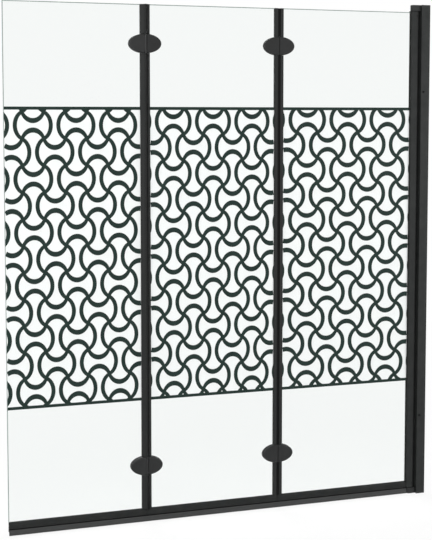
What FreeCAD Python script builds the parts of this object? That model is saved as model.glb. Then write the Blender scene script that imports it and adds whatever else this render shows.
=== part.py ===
import FreeCAD, Part
import os
import re
import Sketcher

# Folding bath screen with three glass panels on a wall profile.
#
# Frame: x = 0 is the wall, and the panels reach out along -X. y = 0 is the middle of the glass,
# with the bath on the -Y side. z = 0 is the bath rim, at the foot of the wall profile. Millimetres.
#
# The panels fold like a Z: the outer fold line lies on the bath side of the glass, the inner one
# behind it, and the post of the wall panel turns between two pins in the caps of the wall frame.

SIZES = {
    # heights and the widths of the panels, from fold line to fold line
    "profile_height": 1400,
    "glass_drop": 20,
    "outer_panel_width": 369,
    "middle_panel_width": 374,
    "wall_panel_width": 395,
    # glass
    "glass_thickness": 5,
    "glass_fit": 0.25,
    "arris": 0.6,
    "edge_gap": 4,
    "glass_hole_radius": 6,
    # wall channel, and the jamb that slides in it
    "channel_depth": 26,
    "channel_width": 34,
    "channel_wall": 2,
    "channel_edge": 1,
    "jamb_fit": 0.4,
    "jamb_recess": 1.5,
    "jamb_back_gap": 6,
    "jamb_wall": 2,
    "port_size": 7,
    "port_spacing": 18,
    "port_from_wall": 13,
    "seal_block_width": 10,
    "seal_block_depth": 5,
    "seal_neck": 2.4,
    "seal_neck_depth": 1.4,
    "seal_slot_width": 5,
    "seal_slot_depth": 2,
    "seal_fit": 0.2,
    "jamb_seal_width": 7,
    "jamb_seal_nose": 3.5,
    "jamb_seal_gap": 0.4,
    # holes and screws of the wall frame
    "wall_hole_radius": 2.75,
    "wall_hole_outer_pitch": 1100,
    "wall_hole_inner_pitch": 400,
    "side_screw_high": 1157,
    "side_screw_low": 230,
    "side_screw_from_wall": 18,
    "side_screw_radius": 1.9,
    "side_screw_length": 5.2,
    "side_head_radius": 3.6,
    "side_head_face_radius": 2.6,
    "side_head_height": 1.8,
    "cap_screw_radius": 1.6,
    "cap_screw_length": 22,
    "cap_head_radius": 3,
    "cap_head_height": 2,
    "cross_span": 3,
    "cross_width": 0.8,
    "cross_depth": 1.1,
    # fits, and how far a solid runs into the one that it joins or a cut past the one it opens
    "screw_fit": 0.15,
    "press_fit": 0.02,
    "running_fit": 0.05,
    "weld": 0.25,
    "past": 1,
    # caps and the pivot between them
    "cap_plate": 7,
    "cap_boss": 16,
    "cap_nose_radius": 10,
    "cap_nose_gap": 0.5,
    "cap_edge": 0.8,
    "pivot_from_wall": 36,
    "pivot_gap": 0.4,
    "pivot_pin_radius": 3,
    "pivot_pin_in_cap": 12,
    "pivot_pin_in_bush": 20,
    "bush_length": 24,
    "bush_flange_radius": 7.5,
    "bush_flange": 2,
    "bush_screw_radius": 2,
    "bush_screw_depth": 11.6,
    "bush_screw_tip": 3.5,
    "bush_screw_sink": 0.6,
    "socket_radius": 1.15,
    "socket_depth": 1.8,
    # post
    "post_reach": 17,
    "post_radius": 9,
    "post_corner": 2,
    "post_bore_radius": 5,
    "post_web": 1.5,
    "gasket_leg": 1.5,
    "gasket_base": 1,
    "gasket_lip": 1.2,
    # bottom rail and its drip seal
    "lip_height": 15,
    "rail_height": 20,
    "rail_floor": 9,
    "rail_thickness": 14,
    "rail_slope": 4,
    "rail_shoulder": 8,
    "rail_end_gap": 0.5,
    "drip_neck": 4,
    "drip_neck_depth": 2.5,
    "drip_slot": 7.5,
    "drip_slot_depth": 3.5,
    "drip_fit": 0.2,
    "drip_flange": 2.5,
    "lip_reach": 10.5,
    "lip_root": 2.6,
    "lip_tip": 1.3,
    "lip_clear": 1,
    "fin_height": 7,
    "fin_root": 2.4,
    "fin_tip": 1.2,
    # fold lines
    "fold_offset": 12.5,
    "knuckle_radius": 2.6,
    "knuckle_gap": 0.3,
    "seam_gap": 0.5,
    "fold_face_gap": 0.3,
    "bead_bore_radius": 1.4,
    "edge_seal_width": 13,
    "edge_seal_back": 5.5,
    "edge_seal_front": 5,
    "edge_seal_bevel": 1.2,
    "seam_groove_half": 4,
    "seam_groove_depth": 2.5,
    "edge_seal_lift": 0.4,
    # oval hinges
    "oval_width": 88,
    "oval_height": 51,
    "hinge_drop": 102,
    "hinge_rise": 153,
    "leaf_thickness": 7,
    "leaf_round": 4,
    "leaf_rim": 5.5,
    "cover_thickness": 5,
    "cover_round": 3.5,
    "pad_thickness": 1,
    "pad_inset": 1.5,
    "knuckle_length": 38,
    "swell": 3.4,
    "web_gap": 0.9,
    "fold_groove": 1.8,
    "line_floor": 2,
    "hinge_pin_radius": 1.3,
    "fixing_reach": 24,
    "boss_radius": 4.5,
    "collar_wall": 1.2,
    "hinge_screw_radius": 2.4,
    "hinge_screw_end": 7,
    "thread_end": 8,
    "hinge_head_radius": 4.2,
    "hinge_head_height": 2,
    "plug_radius": 5,
    "plug_thickness": 1.5,
}

# places that follow from the sizes
PIVOT_X = "(-pivot_from_wall)"
POST_LEFT = "(-pivot_from_wall - post_reach)"
INNER_X = f"({POST_LEFT} - wall_panel_width)"
OUTER_X = f"({INNER_X} - middle_panel_width)"
FREE_X = f"({OUTER_X} - outer_panel_width)"
GLASS_TOP = "(profile_height - glass_drop)"
GLASS_BOTTOM = "(lip_height + rail_floor)"
RAIL_TOP = "(lip_height + rail_height)"
HINGE_LEVELS = {"upper": f"({GLASS_TOP} - hinge_drop)", "lower": "hinge_rise"}
GLASS_HALF = "(glass_thickness / 2)"
SLOT_HALF = "(glass_thickness / 2 + glass_fit)"
POST_SLOT = "(post_reach - post_bore_radius - post_web)"
POST_SLOT_HALF = "(glass_thickness / 2 + gasket_leg)"
POST_END = "(cap_boss + pivot_gap + bush_flange)"
BUSH_SCREW_LEVELS = {"lower": f"({POST_END} + bush_screw_depth)",
                     "upper": f"(profile_height - {POST_END} - bush_screw_depth)"}
SIDE_SCREW_LEVELS = {"high": "side_screw_high", "low": "side_screw_low"}
JAMB_FRONT = "(jamb_recess - channel_depth)"
JAMB_BACK = "(-channel_wall - jamb_back_gap)"
JAMB_HALF = "(channel_width / 2 - channel_wall - jamb_fit)"
LEAF_INNER = "(glass_thickness / 2 + pad_thickness)"
LEAF_OUTER = f"({LEAF_INNER} + leaf_thickness)"
COVER_OUTER = f"({LEAF_INNER} + cover_thickness)"

HALF_TURN = FreeCAD.Rotation(FreeCAD.Vector(0, 0, 1), 180)
UPRIGHT = FreeCAD.Rotation()
UPSIDE_DOWN = FreeCAD.Rotation(FreeCAD.Vector(1, 0, 0), 180)
TO_FRONT = FreeCAD.Rotation(FreeCAD.Vector(1, 0, 0), 90)
TO_BACK = FreeCAD.Rotation(FreeCAD.Vector(1, 0, 0), -90)

SAME_PLACE = 0.001
LEAST_CUT = 0.01

DOC = FreeCAD.newDocument("folding_bath_screen")
NODES = {}


def make_sheet():
    """The driving sizes as cells with aliases."""
    sheet = DOC.addObject("Spreadsheet::Sheet", "sizes")
    for row, (alias, number) in enumerate(SIZES.items(), start=1):
        sheet.set(f"A{row}", alias)
        sheet.set(f"B{row}", str(number))
        sheet.setAlias(f"B{row}", alias)
    DOC.recompute()
    return sheet


SHEET = make_sheet()


def bound(formula):
    """The formula with each size written as a cell of the sheet."""
    def cell(word):
        return "sizes." + word[0] if word[0] in SIZES else word[0]
    return re.sub(r"[a-z_]+", cell, formula)


def value(formula):
    """The number that a formula gives now."""
    return float(SHEET.evalExpression(bound(formula)))


def bind(thing, **formulas):
    """Ties properties of an object to the sheet."""
    for name, formula in formulas.items():
        thing.setExpression(name, bound(formula))


def place(thing, x, y, z, turn=UPRIGHT):
    """Puts an object at a place that is tied to the sheet."""
    thing.Placement = FreeCAD.Placement(FreeCAD.Vector(value(x), value(y), value(z)), turn)
    for axis, formula in zip("xyz", (x, y, z)):
        thing.setExpression("Placement.Base." + axis, bound(formula))
    return thing


def keep(label, thing):
    """Names a finished sub-part."""
    thing.Label = label
    NODES[label] = thing
    return thing


def minus(formula):
    return f"-({formula})"


def both_sides(half, mirrored):
    """Closes an outline that is alike on both sides, from its half. mirrored is 0 or 1, the coordinate
    that changes sign."""
    other = []
    for corner in reversed(half):
        corner = list(corner)
        corner[mirrored] = minus(corner[mirrored])
        other.append(tuple(corner))
    return list(half) + other


def tie(sketch, kind, references, formula):
    """A dimension of a sketch that follows the sheet."""
    number = sketch.addConstraint(Sketcher.Constraint(kind, *references, value(formula)))
    sketch.setExpression(f"Constraints[{number}]", bound(formula))


def polygon(corners):
    """Draws a closed outline with a tied place for each corner."""
    def draw(sketch):
        first = sketch.GeometryCount
        count = len(corners)
        places = [FreeCAD.Vector(value(x), value(y), 0) for x, y in corners]
        for index in range(count):
            sketch.addGeometry(Part.LineSegment(places[index], places[(index + 1) % count]))
        for index in range(count):
            following = first + (index + 1) % count
            sketch.addConstraint(Sketcher.Constraint("Coincident", first + index, 2, following, 1))
        for index, (x, y) in enumerate(corners):
            tie(sketch, "DistanceX", (-1, 1, first + index, 1), x)
            tie(sketch, "DistanceY", (-1, 1, first + index, 1), y)
    return draw


def rectangle(left, right, low, high):
    return polygon([(left, low), (right, low), (right, high), (left, high)])


def circle(x, y, radius):
    """Draws a circle with a tied centre and radius."""
    def draw(sketch):
        centre = FreeCAD.Vector(value(x), value(y), 0)
        number = sketch.addGeometry(Part.Circle(centre, FreeCAD.Vector(0, 0, 1), value(radius)))
        tie(sketch, "DistanceX", (-1, 1, number, 3), x)
        tie(sketch, "DistanceY", (-1, 1, number, 3), y)
        tie(sketch, "Radius", (number,), radius)
    return draw


def oval(x, y, width, height, start=1):
    """Draws an ellipse with its long axis level. Its curve starts at the right end, or at the left end
    if start is -1."""
    def draw(sketch):
        centre = FreeCAD.Vector(value(x), value(y), 0)
        right = centre + FreeCAD.Vector(start * value(width) / 2, 0, 0)
        top = centre + FreeCAD.Vector(0, start * value(height) / 2, 0)
        number = sketch.addGeometry(Part.Ellipse(right, top, centre))
        sketch.exposeInternalGeometry(number)
        long_axis = number + 1
        short_axis = number + 2
        tie(sketch, "DistanceX", (-1, 1, number, 3), x)
        tie(sketch, "DistanceY", (-1, 1, number, 3), y)
        sketch.addConstraint(Sketcher.Constraint("Horizontal", long_axis))
        tie(sketch, "Distance", (long_axis,), width)
        tie(sketch, "Distance", (short_axis,), height)
    return draw


def new_body(name):
    return DOC.addObject("PartDesign::Body", name)


def sketch_on(body, name, plane, shapes, level):
    """A sketch on an origin plane of its own body. A level counts up from XY_Plane, towards the wall from
    YZ_Plane and towards the bath (-Y) from XZ_Plane."""
    sketch = body.newObject("Sketcher::SketchObject", f"{body.Name}_{name}_outline")
    support = [origin for origin in body.Origin.OriginFeatures if origin.Role == plane][0]
    sketch.AttachmentSupport = (support, [""])
    sketch.MapMode = "FlatFace"
    sketch.setExpression("AttachmentOffset.Base.z", bound(level))
    for draw in shapes:
        draw(sketch)
    return sketch


def pad(body, name, plane, shapes, level, length):
    """Adds material from a level, in the direction in which the plane's levels count."""
    feature = body.newObject("PartDesign::Pad", f"{body.Name}_{name}")
    feature.Profile = sketch_on(body, name, plane, shapes, level)
    bind(feature, Length=length)
    return feature


def pocket(body, name, plane, shapes, level, length):
    """Takes material away in the same direction as a pad adds it."""
    feature = body.newObject("PartDesign::Pocket", f"{body.Name}_{name}")
    feature.Profile = sketch_on(body, name, plane, shapes, level)
    feature.Reversed = True
    bind(feature, Length=length)
    return feature


def pocket_through(body, name, plane, shapes):
    """Takes material away on both sides of the plane, all the way."""
    feature = body.newObject("PartDesign::Pocket", f"{body.Name}_{name}")
    feature.Profile = sketch_on(body, name, plane, shapes, "0")
    feature.SideType = "Symmetric"
    feature.Type = "ThroughAll"
    return feature


def dress(body, kind, size_name, size, base, wanted):
    """A fillet or chamfer on the edges of the last feature that the test picks out."""
    DOC.recompute()
    names = [f"Edge{number}" for number, edge in enumerate(base.Shape.Edges, start=1) if wanted(edge)]
    feature = body.newObject(f"PartDesign::{kind}", f"{body.Name}_{kind.lower()}")
    feature.Base = (base, names)
    bind(feature, **{size_name: size})
    return feature


def lies_at(edge, axis, formula):
    """True for an edge that stays at one place along an axis."""
    low = getattr(edge.BoundBox, axis + "Min")
    high = getattr(edge.BoundBox, axis + "Max")
    wanted = value(formula)
    return abs(low - wanted) < SAME_PLACE and abs(high - wanted) < SAME_PLACE


def cylinder(name, radius, height, x, y, z, turn=UPRIGHT):
    solid = DOC.addObject("Part::Cylinder", name)
    bind(solid, Radius=radius, Height=height)
    return place(solid, x, y, z, turn)


def cone(name, radius, end_radius, height, x, y, z, turn=UPRIGHT):
    solid = DOC.addObject("Part::Cone", name)
    bind(solid, Radius1=radius, Radius2=end_radius, Height=height)
    return place(solid, x, y, z, turn)


def fuse(name, solids):
    joined = DOC.addObject("Part::MultiFuse", name)
    joined.Shapes = solids
    return joined


def group(label, solids):
    """Like pieces that share one node."""
    together = DOC.addObject("Part::Compound", label)
    together.Links = solids
    return keep(label, together)


# wall frame

def at_channel_mouth(edge):
    """True for the two outer upright edges on the side of the panels."""
    half = "channel_width / 2"
    at_side = lies_at(edge, "Y", half) or lies_at(edge, "Y", minus(half))
    return at_side and lies_at(edge, "X", "-channel_depth")


def wall_channel():
    """The aluminium channel that is screwed to the wall, open towards the panels."""
    body = new_body("wall_channel")
    half = "channel_width / 2"
    inner = "(channel_width / 2 - channel_wall)"
    outline = both_sides([("0", half), ("-channel_depth", half), ("-channel_depth", inner),
                          ("-channel_wall", inner)], 1)
    height = "profile_height - 2 * cap_plate"
    section = pad(body, "section", "XY_Plane", [polygon(outline)], "cap_plate", height)
    dress(body, "Fillet", "Radius", "channel_edge", section, at_channel_mouth)
    holes = []
    for pitch in ("wall_hole_outer_pitch", "wall_hole_inner_pitch"):
        for sign in ("-", "+"):
            holes.append(circle("0", f"profile_height / 2 {sign} {pitch} / 2", "wall_hole_radius"))
    pocket(body, "wall_holes", "YZ_Plane", holes, "-channel_wall - past", "channel_wall + 2 * past")
    side_holes(body, "channel_width / 2 - channel_wall - past", "channel_wall + 2 * past")
    return keep("wall_channel", body)


def side_holes(body, level, depth):
    """The holes for the side screws in a leg on the bath side."""
    holes = [circle("-side_screw_from_wall", z, "side_screw_radius + screw_fit")
             for z in SIDE_SCREW_LEVELS.values()]
    pocket(body, "side_holes", "XZ_Plane", holes, level, depth)


def jamb_profile():
    """The jamb slides in the channel and carries the caps. Two screw ports take the cap screws, and a
    T slot in a block on its web takes the jamb seal."""
    body = new_body("jamb_profile")
    inner = f"({JAMB_HALF} - jamb_wall)"
    outline = both_sides([(JAMB_FRONT, JAMB_HALF), (JAMB_BACK, JAMB_HALF), (JAMB_BACK, inner),
                          (f"{JAMB_FRONT} + jamb_wall", inner)], 1)
    height = "profile_height - 2 * cap_plate"
    pad(body, "section", "XY_Plane", [polygon(outline)], "cap_plate", height)
    block = rectangle(JAMB_FRONT, f"{JAMB_FRONT} + seal_block_depth",
                      "-seal_block_width / 2", "seal_block_width / 2")
    pad(body, "seal_block", "XY_Plane", [block], "cap_plate", height)
    for side, sign in (("back", "+"), ("bath", "-")):
        reach = f"{sign}({JAMB_HALF} - jamb_wall / 2)"
        port = rectangle("-port_from_wall - port_size / 2", "-port_from_wall + port_size / 2",
                         f"{sign}(port_spacing / 2 - port_size / 2)", reach)
        pad(body, f"{side}_port", "XY_Plane", [port], "cap_plate", height)
    bores = [circle("-port_from_wall", f"{sign}port_spacing / 2", "cap_screw_radius + screw_fit")
             for sign in ("", "-")]
    pocket_through(body, "port_bores", "XY_Plane", bores)
    slot = both_sides([(f"{JAMB_FRONT} - past", "seal_neck / 2"),
                       (f"{JAMB_FRONT} + seal_neck_depth", "seal_neck / 2"),
                       (f"{JAMB_FRONT} + seal_neck_depth", "seal_slot_width / 2"),
                       (f"{JAMB_FRONT} + seal_neck_depth + seal_slot_depth", "seal_slot_width / 2")], 1)
    pocket_through(body, "seal_slot", "XY_Plane", [polygon(slot)])
    side_holes(body, f"{JAMB_HALF} - jamb_wall - past", "jamb_wall + 2 * past")
    return keep("jamb_profile", body)


def jamb_seal():
    """The soft strip in the jamb's T slot, which closes the gap to the turning post."""
    body = new_body("jamb_seal")
    nose = f"({PIVOT_X} + post_radius + jamb_seal_gap)"
    neck = "(seal_neck / 2 - seal_fit)"
    head = "(seal_slot_width / 2 - seal_fit)"
    inner = f"({JAMB_FRONT} + seal_neck_depth + seal_fit)"
    end = f"({JAMB_FRONT} + seal_neck_depth + seal_slot_depth - seal_fit)"
    side = "jamb_seal_width / 2"
    outline = both_sides([(nose, "jamb_seal_nose / 2"), (f"({nose} + {JAMB_FRONT}) / 2", side),
                          (JAMB_FRONT, side), (JAMB_FRONT, neck), (inner, neck), (inner, head),
                          (end, head)], 1)
    height = "profile_height - 2 * cap_boss - 2 * pivot_gap"
    pad(body, "section", "XY_Plane", [polygon(outline)], "cap_boss + pivot_gap", height)
    return keep("jamb_seal", body)


def end_cap(label, turn, z):
    """The cap on one end of the profiles, drawn as the lower one: a plate over the channel and a boss with a
    round nose that reaches as far as the post, but not into the circle that the end of the rail sweeps. Its
    edges are broken, but not where it lies on the wall. The upper cap is the same piece upside down."""
    body = new_body(label)
    half = "channel_width / 2"
    plate = rectangle("-channel_depth", "0", f"-{half}", half)
    blank = pad(body, "plate", "XY_Plane", [plate], "0", "cap_plate")
    dress(body, "Fillet", "Radius", "channel_edge", blank, at_channel_mouth)
    nose_x = f"({POST_LEFT} + cap_nose_gap + cap_nose_radius)"
    sides = rectangle(nose_x, "-channel_depth", "-cap_nose_radius", "cap_nose_radius")
    pad(body, "bridge", "XY_Plane", [sides], "0", "cap_boss")
    nose = circle(nose_x, "0", "cap_nose_radius")
    last = pad(body, "nose", "XY_Plane", [nose], "0", "cap_boss")
    dress(body, "Chamfer", "Size", "cap_edge", last,
          lambda edge: lies_at(edge, "Z", "0") and not lies_at(edge, "X", "0"))
    seat = circle(PIVOT_X, "0", "pivot_pin_radius + press_fit")
    pocket(body, "pin_seat", "XY_Plane", [seat], "cap_boss - pivot_pin_in_cap", "pivot_pin_in_cap + past")
    places = [("-port_from_wall", f"{sign}port_spacing / 2") for sign in ("", "-")]
    shanks = [circle(across, along, "cap_screw_radius + screw_fit") for across, along in places]
    heads = [circle(across, along, "cap_head_radius + screw_fit") for across, along in places]
    pocket_through(body, "screw_holes", "XY_Plane", shanks)
    pocket(body, "head_seats", "XY_Plane", heads, "-past", "cap_head_height + past")
    place(body, "0", "0", z, turn)
    return keep(label, body)


def pivot_pins():
    """The steel pins on which the post turns."""
    length = "pivot_pin_in_cap + pivot_pin_in_bush"
    starts = {"lower": "cap_boss - pivot_pin_in_cap",
              "upper": "profile_height - cap_boss - pivot_pin_in_bush"}
    group("pivot_pins", [cylinder(f"{name}_pivot_pin", "pivot_pin_radius", length, PIVOT_X, "0", z)
                         for name, z in starts.items()])


def cross_recess(name, screw, sizes_of_slots, x, y, z):
    """Cuts a cross for the driver into the head of a screw. Each slot has a size along X, Y and Z and its
    middle at the place given."""
    slots = []
    for number, sizes in enumerate(sizes_of_slots):
        slot = DOC.addObject("Part::Box", f"{name}_slot_{number}")
        bind(slot, Length=sizes[0], Width=sizes[1], Height=sizes[2])
        corner = [f"{middle} - ({size}) / 2" for middle, size in zip((x, y, z), sizes)]
        slots.append(place(slot, *corner))
    cut = DOC.addObject("Part::Cut", name)
    cut.Base = screw
    cut.Tool = fuse(f"{name}_cross", slots)
    return cut


def side_screws():
    """The screws that hold the jamb in the channel, with round heads on the bath side."""
    screws = []
    face = "-channel_width / 2"
    x = "-side_screw_from_wall"
    slots = [("cross_span", "2 * cross_depth", "cross_width"),
             ("cross_width", "2 * cross_depth", "cross_span")]
    for name, z in SIDE_SCREW_LEVELS.items():
        shank = cylinder(f"{name}_side_shank", "side_screw_radius", "side_screw_length", x, face, z, TO_BACK)
        head = cone(f"{name}_side_head", "side_head_radius", "side_head_face_radius", "side_head_height",
                    x, face, z, TO_FRONT)
        blank = fuse(f"{name}_side_blank", [shank, head])
        screws.append(cross_recess(f"{name}_side_screw", blank, slots, x, f"{face} - side_head_height", z))
    group("side_screws", screws)


def cap_screws():
    """Two screws through each cap into the ports of the jamb."""
    screws = []
    x = "-port_from_wall"
    slots = [("cross_span", "cross_width", "2 * cross_depth"),
             ("cross_width", "cross_span", "2 * cross_depth")]
    for end, face, turn in (("low", "0", UPRIGHT), ("top", "profile_height", UPSIDE_DOWN)):
        for side, y in (("back", "port_spacing / 2"), ("bath", "-port_spacing / 2")):
            name = f"{end}_{side}_cap"
            head = cylinder(f"{name}_head", "cap_head_radius", "cap_head_height", x, y, face, turn)
            shank = cylinder(f"{name}_shank", "cap_screw_radius", "cap_screw_length", x, y, face, turn)
            blank = fuse(f"{name}_blank", [head, shank])
            screws.append(cross_recess(f"{name}_screw", blank, slots, x, y, face))
    group("cap_screws", screws)


# post of the wall panel

def pivot_post():
    """The turning post: a round nose about the pivot, a bore for the bushes and a slot for the glass."""
    body = new_body("pivot_post")
    height = f"profile_height - 2 * {POST_END}"
    block = rectangle(POST_LEFT, PIVOT_X, "-post_radius", "post_radius")
    blank = pad(body, "block", "XY_Plane", [block], POST_END, height)
    dress(body, "Fillet", "Radius", "post_corner", blank,
          lambda edge: lies_at(edge, "X", POST_LEFT) and edge.BoundBox.ZLength > edge.BoundBox.YLength)
    pad(body, "nose", "XY_Plane", [circle(PIVOT_X, "0", "post_radius")], POST_END, height)
    pocket_through(body, "bore", "XY_Plane", [circle(PIVOT_X, "0", "post_bore_radius")])
    slot = rectangle(f"{POST_LEFT} - past", f"{POST_LEFT} + {POST_SLOT}",
                     f"-{POST_SLOT_HALF}", POST_SLOT_HALF)
    pocket_through(body, "glass_slot", "XY_Plane", [slot])
    holes = [circle(PIVOT_X, z, "bush_screw_radius + screw_fit") for z in BUSH_SCREW_LEVELS.values()]
    pocket(body, "screw_holes", "XZ_Plane", holes, "0", "post_radius + past")
    return keep("pivot_post", body)


def post_gasket():
    """The glazing gasket round the glass in the slot of the post, with lips on its face."""
    body = new_body("post_gasket")
    end = f"({POST_LEFT} + {POST_SLOT})"
    outline = both_sides([(end, POST_SLOT_HALF), (POST_LEFT, POST_SLOT_HALF),
                          (POST_LEFT, f"{POST_SLOT_HALF} + gasket_lip"),
                          (f"{POST_LEFT} - gasket_lip", POST_SLOT_HALF),
                          (f"{POST_LEFT} - gasket_lip", GLASS_HALF), (f"{end} - gasket_base", GLASS_HALF)], 1)
    pad(body, "section", "XY_Plane", [polygon(outline)], RAIL_TOP, f"{GLASS_TOP} - {RAIL_TOP}")
    return keep("post_gasket", body)


def pivot_bushes():
    """The flanged bushes in the two ends of the post's bore."""
    bushes = []
    ends = (("lower", UPRIGHT, POST_END), ("upper", UPSIDE_DOWN, f"profile_height - {POST_END}"))
    for name, turn, z in ends:
        body = new_body(f"{name}_bush")
        sleeve = circle("0", "0", "post_bore_radius - press_fit")
        flange = circle("0", "0", "bush_flange_radius")
        pad(body, "flange", "XY_Plane", [flange], "-bush_flange", "bush_flange")
        pad(body, "sleeve", "XY_Plane", [sleeve], "0", "bush_length")
        pocket_through(body, "bore", "XY_Plane", [circle("0", "0", "pivot_pin_radius + running_fit")])
        hole = circle("0", "bush_screw_depth", "bush_screw_radius + screw_fit")
        level = "0" if name == "lower" else "-post_bore_radius - past"
        pocket(body, "screw_hole", "XZ_Plane", [hole], level, "post_bore_radius + past")
        bushes.append(place(body, PIVOT_X, "0", z, turn))
    group("pivot_bushes", bushes)


def bush_screws():
    """The set screws in the face of the post that hold its bushes, sunk below the round of the nose."""
    screws = []
    face = "(bush_screw_sink - post_radius)"
    for name, z in BUSH_SCREW_LEVELS.items():
        blank = cylinder(f"{name}_bush_blank", "bush_screw_radius", f"-{face} - bush_screw_tip",
                         PIVOT_X, face, z, TO_BACK)
        socket = DOC.addObject("Part::Prism", f"{name}_bush_socket")
        bind(socket, Circumradius="socket_radius", Height="socket_depth")
        place(socket, PIVOT_X, face, z, TO_BACK)
        screw = DOC.addObject("Part::Cut", f"{name}_bush_screw")
        screw.Base = blank
        screw.Tool = socket
        screws.append(screw)
    group("bush_screws", screws)


# panels

PANELS = {
    # the ends of the glass, the ends of the rail, and the places of the holes for the hinges
    "outer_panel": {"glass": (FREE_X, f"{OUTER_X} - edge_gap"),
                    "rail": (f"{FREE_X} + rail_end_gap", f"{OUTER_X} - seam_gap"),
                    "holes": [f"{OUTER_X} - fixing_reach"]},
    "middle_panel": {"glass": (f"{OUTER_X} + edge_gap", f"{INNER_X} - edge_gap"),
                     "rail": (f"{OUTER_X} + seam_gap", f"{INNER_X} - seam_gap"),
                     "holes": [f"{OUTER_X} + fixing_reach", f"{INNER_X} - fixing_reach"]},
    "wall_panel": {"glass": (f"{INNER_X} + edge_gap", f"{POST_LEFT} + {POST_SLOT} - gasket_base"),
                   "rail": (f"{INNER_X} + seam_gap", f"{POST_LEFT} - rail_end_gap"),
                   "holes": [f"{INNER_X} + fixing_reach"]},
}


def glass_pane(panel):
    """A pane of toughened glass with a ground arris and holes for its hinges."""
    left, right = PANELS[panel]["glass"]
    body = new_body(f"{panel}_glass")
    blank = pad(body, "pane", "XZ_Plane", [rectangle(left, right, GLASS_BOTTOM, GLASS_TOP)],
                f"-{GLASS_HALF}", "glass_thickness")
    dress(body, "Chamfer", "Size", "arris", blank,
          lambda edge: lies_at(edge, "Y", GLASS_HALF) or lies_at(edge, "Y", f"-{GLASS_HALF}"))
    rounds = [circle(x, z, "glass_hole_radius")
              for x in PANELS[panel]["holes"] for z in HINGE_LEVELS.values()]
    pocket_through(body, "hinge_holes", "XZ_Plane", rounds)
    return keep(f"{panel}_glass", body)


def bottom_rail(panel):
    """The rail along the foot of a pane: a slot for the glass above, a T slot for the drip seal below."""
    left, right = PANELS[panel]["rail"]
    body = new_body(f"{panel}_rail")
    half = "rail_thickness / 2"
    neck_top = "(lip_height + drip_neck_depth)"
    outline = both_sides([("drip_slot / 2", f"{neck_top} + drip_slot_depth"), ("drip_slot / 2", neck_top),
                          ("drip_neck / 2", neck_top), ("drip_neck / 2", "lip_height"),
                          (half, "lip_height"), (half, f"{RAIL_TOP} - rail_slope"),
                          ("rail_shoulder / 2", RAIL_TOP), (SLOT_HALF, RAIL_TOP),
                          (SLOT_HALF, GLASS_BOTTOM)], 0)
    pad(body, "section", "YZ_Plane", [polygon(outline)], left, f"{right} - ({left})")
    return keep(f"{panel}_rail", body)


def drip_seal(panel):
    """The soft seal under a rail: a T head, a flange, a lip that leans out over the bath and a fin behind."""
    left, right = PANELS[panel]["rail"]
    body = new_body(f"{panel}_drip_seal")
    half = "rail_thickness / 2"
    neck = "(drip_neck / 2 - drip_fit)"
    head = "(drip_slot / 2 - drip_fit)"
    head_low = "(lip_height + drip_neck_depth + drip_fit)"
    head_top = "(lip_height + drip_neck_depth + drip_slot_depth - drip_fit)"
    under = "(lip_height - drip_flange)"
    corners = [
        (f"-{head}", head_top), (f"-{head}", head_low), (f"-{neck}", head_low), (f"-{neck}", "lip_height"),
        (f"-{half}", "lip_height"), ("-lip_reach", "lip_clear + lip_tip"),
        ("-lip_reach + lip_tip", "lip_clear"), (f"-{half} + lip_root", under), (f"{half} - fin_root", under),
        (f"{half} - (fin_root + fin_tip) / 2", "fin_height"),
        (f"{half} - (fin_root - fin_tip) / 2", "fin_height"), (half, under), (half, "lip_height"),
        (neck, "lip_height"), (neck, head_low), (head, head_low), (head, head_top)]
    pad(body, "section", "YZ_Plane", [polygon(corners)], left, f"{right} - ({left})")
    return keep(f"{panel}_drip_seal", body)


# fold lines: the outer one is drawn, with its axis on the bath side; the inner one is turned half round

FOLDS = {"outer": (OUTER_X, UPRIGHT), "inner": (INNER_X, HALF_TURN)}


def edge_seal(fold, kind):
    """The seal on one glass edge of a fold line. The bead seal carries a hollow bead about the fold axis, and
    the groove seal is hollowed to let the bead turn. Ovals for the hinges cut it into three lengths."""
    x, turn = FOLDS[fold]
    side = "-" if kind == "bead" else ""
    body = new_body(f"{fold}_{kind}_seal")
    slot_end = f"{side}(edge_gap - glass_fit)"
    edge = f"{side}edge_seal_width"
    ridge = "-(fold_offset - fold_face_gap)"
    ridge_end = "(weld - knuckle_radius)" if kind == "bead" else "(knuckle_radius + fold_groove)"
    seam = f"{side}seam_gap"
    groove_side = f"{side}seam_groove_half"
    groove_floor = "(edge_seal_back - seam_groove_depth)"
    bevel = f"{side}(edge_seal_width - edge_seal_bevel)"
    corners = [
        (edge, SLOT_HALF), (slot_end, SLOT_HALF), (slot_end, f"-{SLOT_HALF}"), (edge, f"-{SLOT_HALF}"),
        (edge, "-edge_seal_front"), (ridge_end, ridge), (seam, ridge), (seam, groove_floor),
        (groove_side, groove_floor), (groove_side, "edge_seal_back"), (bevel, "edge_seal_back"),
        (edge, "edge_seal_back - edge_seal_bevel")]
    low = f"({RAIL_TOP} + edge_seal_lift)"
    height = f"{GLASS_TOP} - {low}"
    pad(body, "section", "XY_Plane", [polygon(corners)], low, height)
    if kind == "bead":
        pad(body, "bead", "XY_Plane", [circle("0", "-fold_offset", "knuckle_radius")], low, height)
    else:
        hollow = circle("0", "-fold_offset", "knuckle_radius + fold_groove")
        pocket_through(body, "hollow", "XY_Plane", [hollow])
    windows = [oval("0", z, "oval_width + 2 * knuckle_gap", "oval_height + 2 * knuckle_gap")
               for z in HINGE_LEVELS.values()]
    pocket_through(body, "hinge_windows", "XZ_Plane", windows)
    if kind == "bead":
        pocket_through(body, "bead_bore", "XY_Plane", [circle("0", "-fold_offset", "bead_bore_radius")])
    place(body, x, "0", "0", turn)
    return keep(f"{fold}_{kind}_seal", body)


def oval_plate(body, side, inset, level, thickness):
    """An oval plate, whose rim starts on the half that is cut away later."""
    start = 1 if side == "-" else -1
    plate = oval("0", "0", f"oval_width - 2 * {inset}", f"oval_height - 2 * {inset}", start)
    return pad(body, "plate", "XZ_Plane", [plate], level, thickness)


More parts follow.
